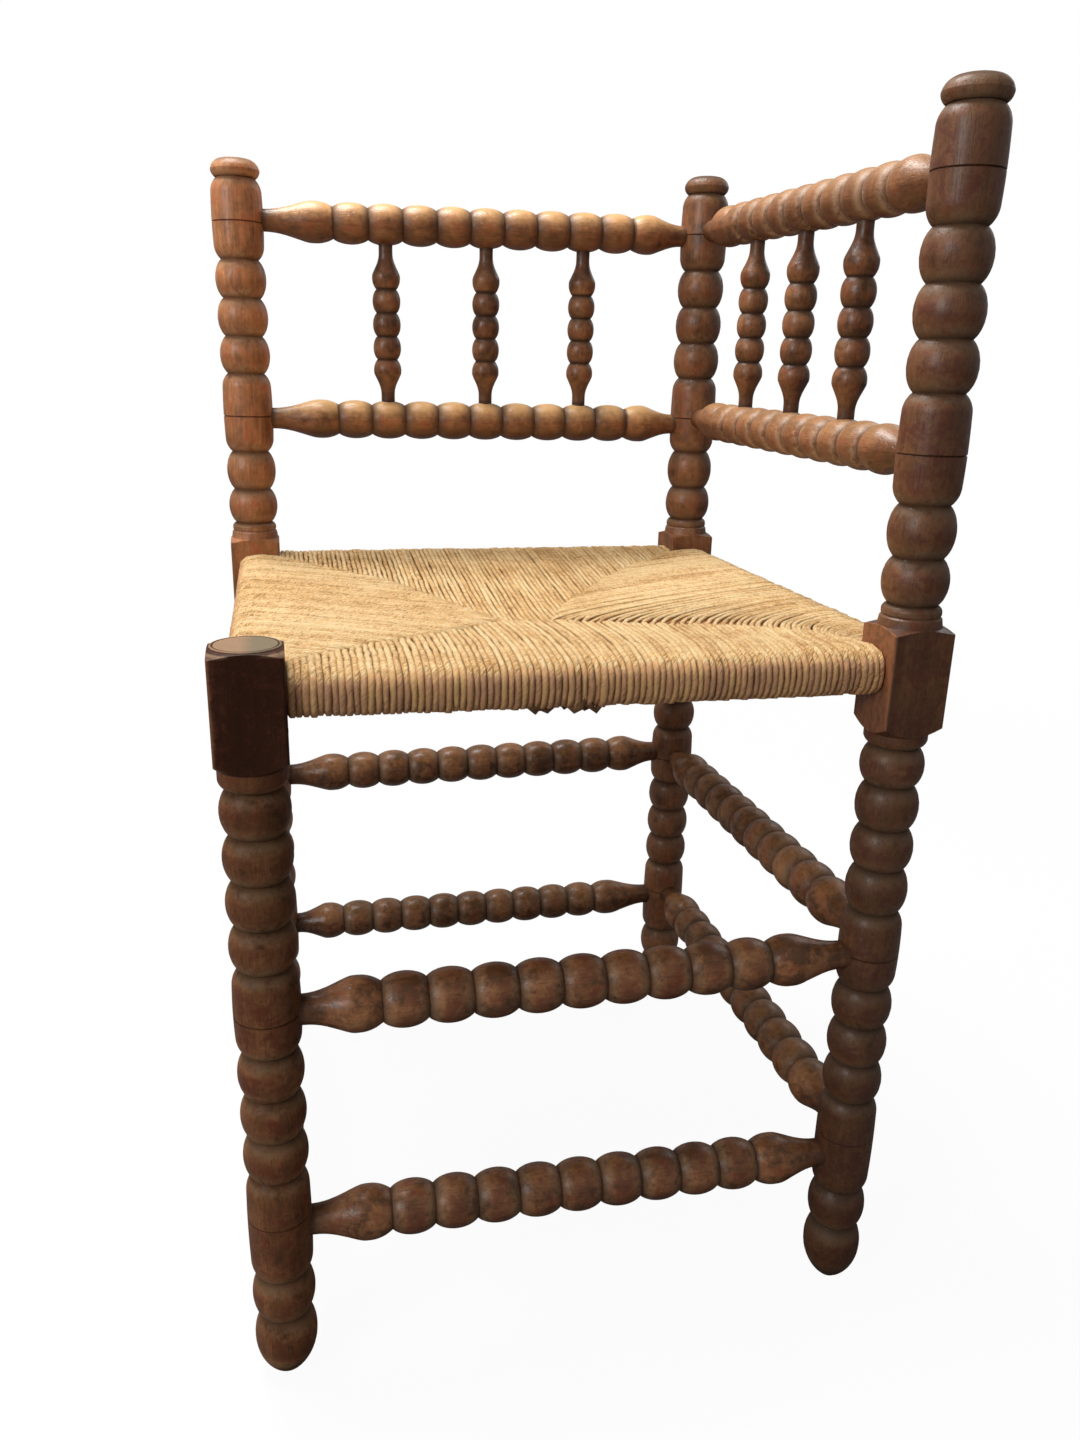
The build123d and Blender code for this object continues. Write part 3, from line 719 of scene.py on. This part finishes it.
def rushSection(name, section):
    first, last = (postCentre(corner) for corner in section["corners"])
    origin = (first + last) / 2
    origin.z = 0
    rail = (last - first).xy.to_3d().normalized()
    inward = -origin.normalized()
    seam = seamOf(section, origin, rail, inward)
    dice = random.Random(rush["seed"] + len(name) * 7)
    pitch = 2 * seat.clear / rush["cords"]
    bundle = Bundle()
    for number in range(rush["cords"]):
        place = -seat.clear + pitch * (number + 0.5)
        radius = seat.radius * dice.uniform(*rush["girths"])
        thin = mixed(*section["thin"], (number + 0.5) / rush["cords"])
        centres, girths, unders = [], [], []
        for ring, (a, d, layer, rise, under) in enumerate(cordPath(place, section, seam, dice)):
            spot = origin + rail * a + inward * d
            level = {"top": seat.top, "bottom": seat.bottom}.get(layer, lambda x, y: seat.axis)
            spot.z = level(spot.x, spot.y) + rise
            centres.append(spot)
            thinner = rush["tail"] if ring == 0 else thin if ring < rush["steps"] else rush["wrap"]
            girths.append(radius * thinner * (1 + dice.uniform(-1, 1) * rush["lumpy"]))
            unders.append(under)
        bundle.wind(centres, girths, unders, dice.random(), rail, section["spread"])
    if name == "front":
        addKnots(bundle, dice)
    bundle.finish("rush_" + name, "rush_cord", "rush_seat")


# cord ends knotted together under the front edge, in millimetres from the seat's middle: each cluster's
# middle, half width and count, the row's place, and how far a loop drops and spans; loop is shares of those
knots = {"clusters": ((-23, 16, 24), (6, 5, 7)), "row": (-196, 6), "drop": (3.0, 7.0), "span": (6, 15),
         "slant": 0.6, "girth": 2.1, "uneven": (0.7, 1.1), "under": 2,
         "loop": ((0, 0.6), (0.2, -0.5), (0.5, -1), (0.8, -0.6), (1, 0.5))}


def addKnots(bundle, dice):
    floor = seat.axis - seat.rise
    for middle, width, count in knots["clusters"]:
        for _ in range(count):
            x = (middle + dice.uniform(-1, 1) * width) * mm
            y = (knots["row"][0] + dice.uniform(-1, 1) * knots["row"][1]) * mm
            drop = dice.uniform(*knots["drop"]) * mm
            span = dice.uniform(*knots["span"]) * mm * dice.choice((-1, 1))
            slant = dice.uniform(-1, 1) * knots["slant"] * span
            centres = [Vector((x + span * share, y + slant * share, floor + rise * drop))
                       for share, rise in knots["loop"]]
            girths = [knots["girth"] * mm * dice.uniform(*knots["uneven"]) for _ in centres]
            unders = [knots["under"]] * len(centres)
            bundle.wind(centres, girths, unders, dice.random(), Vector((0, 1, 0)))


straw = {"pale": (1.0, 0.76, 0.42), "gold": (0.98, 0.62, 0.26), "tan": (0.76, 0.42, 0.155),
         "stroke": (0.42, 0.20, 0.07), "rust": (0.90, 0.47, 0.215), "mauve": (0.74, 0.405, 0.225),
         "brown": (0.50, 0.24, 0.105), "shadow": (0.36, 0.17, 0.055), "gap": (0.30, 0.135, 0.06),
         "knot": (0.16, 0.075, 0.035)}
# the cord's twist in radians a metre, how drawn out its strands and fibres are, and the patterns as scale,
# detail and roughness
weave = {"twist": 480, "drawn": (1, 1, 28), "drawnFibres": (1, 1, 2.6), "apart": 40,
         "strands": (2.4, 4, 0.65), "fibres": (2.8, 3, 0.6), "patches": (42, 4, 0.6),
         "blotches": (12, 3, 0.5)}
# how far each pattern moves a blend from its middle value
blends = {"sunny": (0.60, {"patches": 0.6, "tone": 0.25, "blotches": 0.5, "strands": 1.3, "fibres": 2.4}),
          "stroke": (0.50, {"tone": 0.45, "strands": 1.2, "patches": 0.8, "fibres": 1.4}),
          "turned": (0.0, {"patches": 0.5, "tone": 0.3}),
          "between": (0.0, {"fibres": 1.0, "strands": 1.2})}
borders = {"turned": (0.38, 0.60), "between": (0.66, 0.90), "knotted": (1.1, 1.5)}  # where each takes over
darkened = 0.75  # how much gaps, by painted shade, and knots are


def rushPaint():
    paint = Paint("rush cord")
    tone = paint.add("ShaderNodeAttribute", {"attribute_name": "tone"}, output=2)
    under = paint.add("ShaderNodeAttribute", {"attribute_name": "under"}, output=2)
    twist = paint.add("ShaderNodeAttribute", {"attribute_name": "twist"}, output=1)
    sine, run = paint.parts(twist)[1:]
    turned = paint.add("ShaderNodeVectorRotate", {"rotation_type": "Z_AXIS"},
                       {"Vector": twist, "Angle": run * weave["twist"]})
    spun = paint.add("ShaderNodeMapping", None,
                     {"Vector": turned, "Location": (3, 5, 0), "Scale": weave["drawn"]})
    apart = paint.add("ShaderNodeCombineXYZ", None, {2: tone * weave["apart"]})
    lengthwise = paint.add("ShaderNodeVectorMath", {"operation": "ADD"}, {0: spun, 1: apart})
    fine = paint.add("ShaderNodeMapping", None, {"Vector": lengthwise, "Scale": weave["drawnFibres"]})
    spot = paint.place()
    spots = {"strands": lengthwise, "fibres": fine, "patches": spot, "blotches": spot}
    seen = {name: paint.noise(place, *weave[name]) for name, place in spots.items()}
    seen["tone"] = tone

    def blended(name, base=0.0):
        middle, weights = blends[name]
        value = middle + base
        for pattern, weight in weights.items():
            value = value + weight * (seen[pattern] - 0.5)
        return value

    sunny = paint.ramp(blended("sunny"), (0.18, straw["stroke"]), (0.42, straw["tan"]),
                       (0.56, straw["gold"]), (0.78, straw["pale"]))
    # the wrapped faces are browner, in strokes that differ from cord to cord
    wrapped = paint.ramp(blended("stroke"), (0.0, straw["brown"]), (0.3, straw["mauve"]),
                         (0.55, straw["rust"]), (0.85, straw["gold"]))
    colour = paint.mix(paint.step(blended("turned", under), *borders["turned"]), sunny, wrapped)
    # painted shade down between the cords: their sides darkened, in the shadow colour on top and the gap
    # colour below
    between = paint.step(blended("between", abs(sine)), *borders["between"])
    colour = paint.mix(between * darkened, colour, paint.mix(under, straw["shadow"], straw["gap"]))
    colour = paint.mix(paint.step(under, *borders["knotted"]) * darkened, colour, straw["knot"])
    rough = 0.45 + 0.3 * seen["strands"]
    bumps = seen["strands"] + 0.6 * seen["fibres"] + 0.4 * seen["patches"]
    paint.shader.inputs["Specular IOR Level"].default_value = 0.25
    return paint.finish(colour, rough, bumps, 0.0020, 1.0)


# millimetres: loose rush packed between the two layers of cord
padding = {"half": 182, "gap": 1.0, "power": 6, "rings": 12, "spokes": 72, "soft": 8, "lump": 0.7,
           "fill": 0.8, "seed": 5, "chaff": (210, 4, 0.6, 1.5), "blotches": (30, 3, 0.5)}


def paddingPaint():
    paint = Paint("rush stuffing")
    chaff = paint.noise(paint.place((1, 0.25, 1)), *padding["chaff"])
    blotches = paint.noise(paint.place(), *padding["blotches"])
    colour = paint.ramp(chaff + 0.5 * (blotches - 0.5), (0.3, straw["brown"]), (0.5, straw["rust"]),
                        (0.72, straw["gold"]))
    return paint.finish(colour, 0.7 + 0.2 * blotches, chaff, 0.0015, 1.0)


def rushPadding():
    dice = random.Random(padding["seed"])
    vertices, faces = [], []
    spokes, rings, power = padding["spokes"], padding["rings"], padding["power"]
    inset = 2 * seat.radius + padding["gap"] * mm

    def point(share, spoke, way):
        angle = math.tau * spoke / spokes
        squared = abs(math.cos(angle)) ** power + abs(math.sin(angle)) ** power
        reach = share * padding["half"] * mm / squared ** (1 / power)
        x, y = reach * math.cos(angle), reach * math.sin(angle)
        high, low = seat.top(x, y) - inset, seat.bottom(x, y) + inset
        puff = max(0, 1 - share ** padding["soft"]) ** 0.5
        lump = dice.random() * padding["lump"] * mm
        return Vector((x, y, (high + low) / 2 + way * puff * ((high - low) / 2 - lump)))

    for way in (1, -1):
        pole = len(vertices)
        vertices.append(point(0, 0, way))
        for ring in range(1, rings + (way > 0)):
            vertices += [point(ring / rings, spoke, way) for spoke in range(spokes)]
        rim = 1 + (rings - 1) * spokes  # the upper half's last ring closes both halves
        for spoke in range(spokes):
            after = (spoke + 1) % spokes
            faces.append((pole, pole + 1 + spoke, pole + 1 + after))
            for ring in range(rings - 1):
                inner = pole + 1 + ring * spokes
                outer = rim if way < 0 and ring == rings - 2 else inner + spokes
                faces.append((inner + spoke, outer + spoke, outer + after, inner + after))
    mesh = bpy.data.meshes.new("rush_padding")
    mesh.from_pydata(vertices, [], faces)
    mesh.shade_smooth()
    pad = addPiece("rush_padding", mesh, paddingPaint(), "rush_stuffing")


seat = Seat()
rushFinish = rushPaint()
for name, section in sections.items():
    rushSection(name, section)
rushPadding()
print("rush wound")
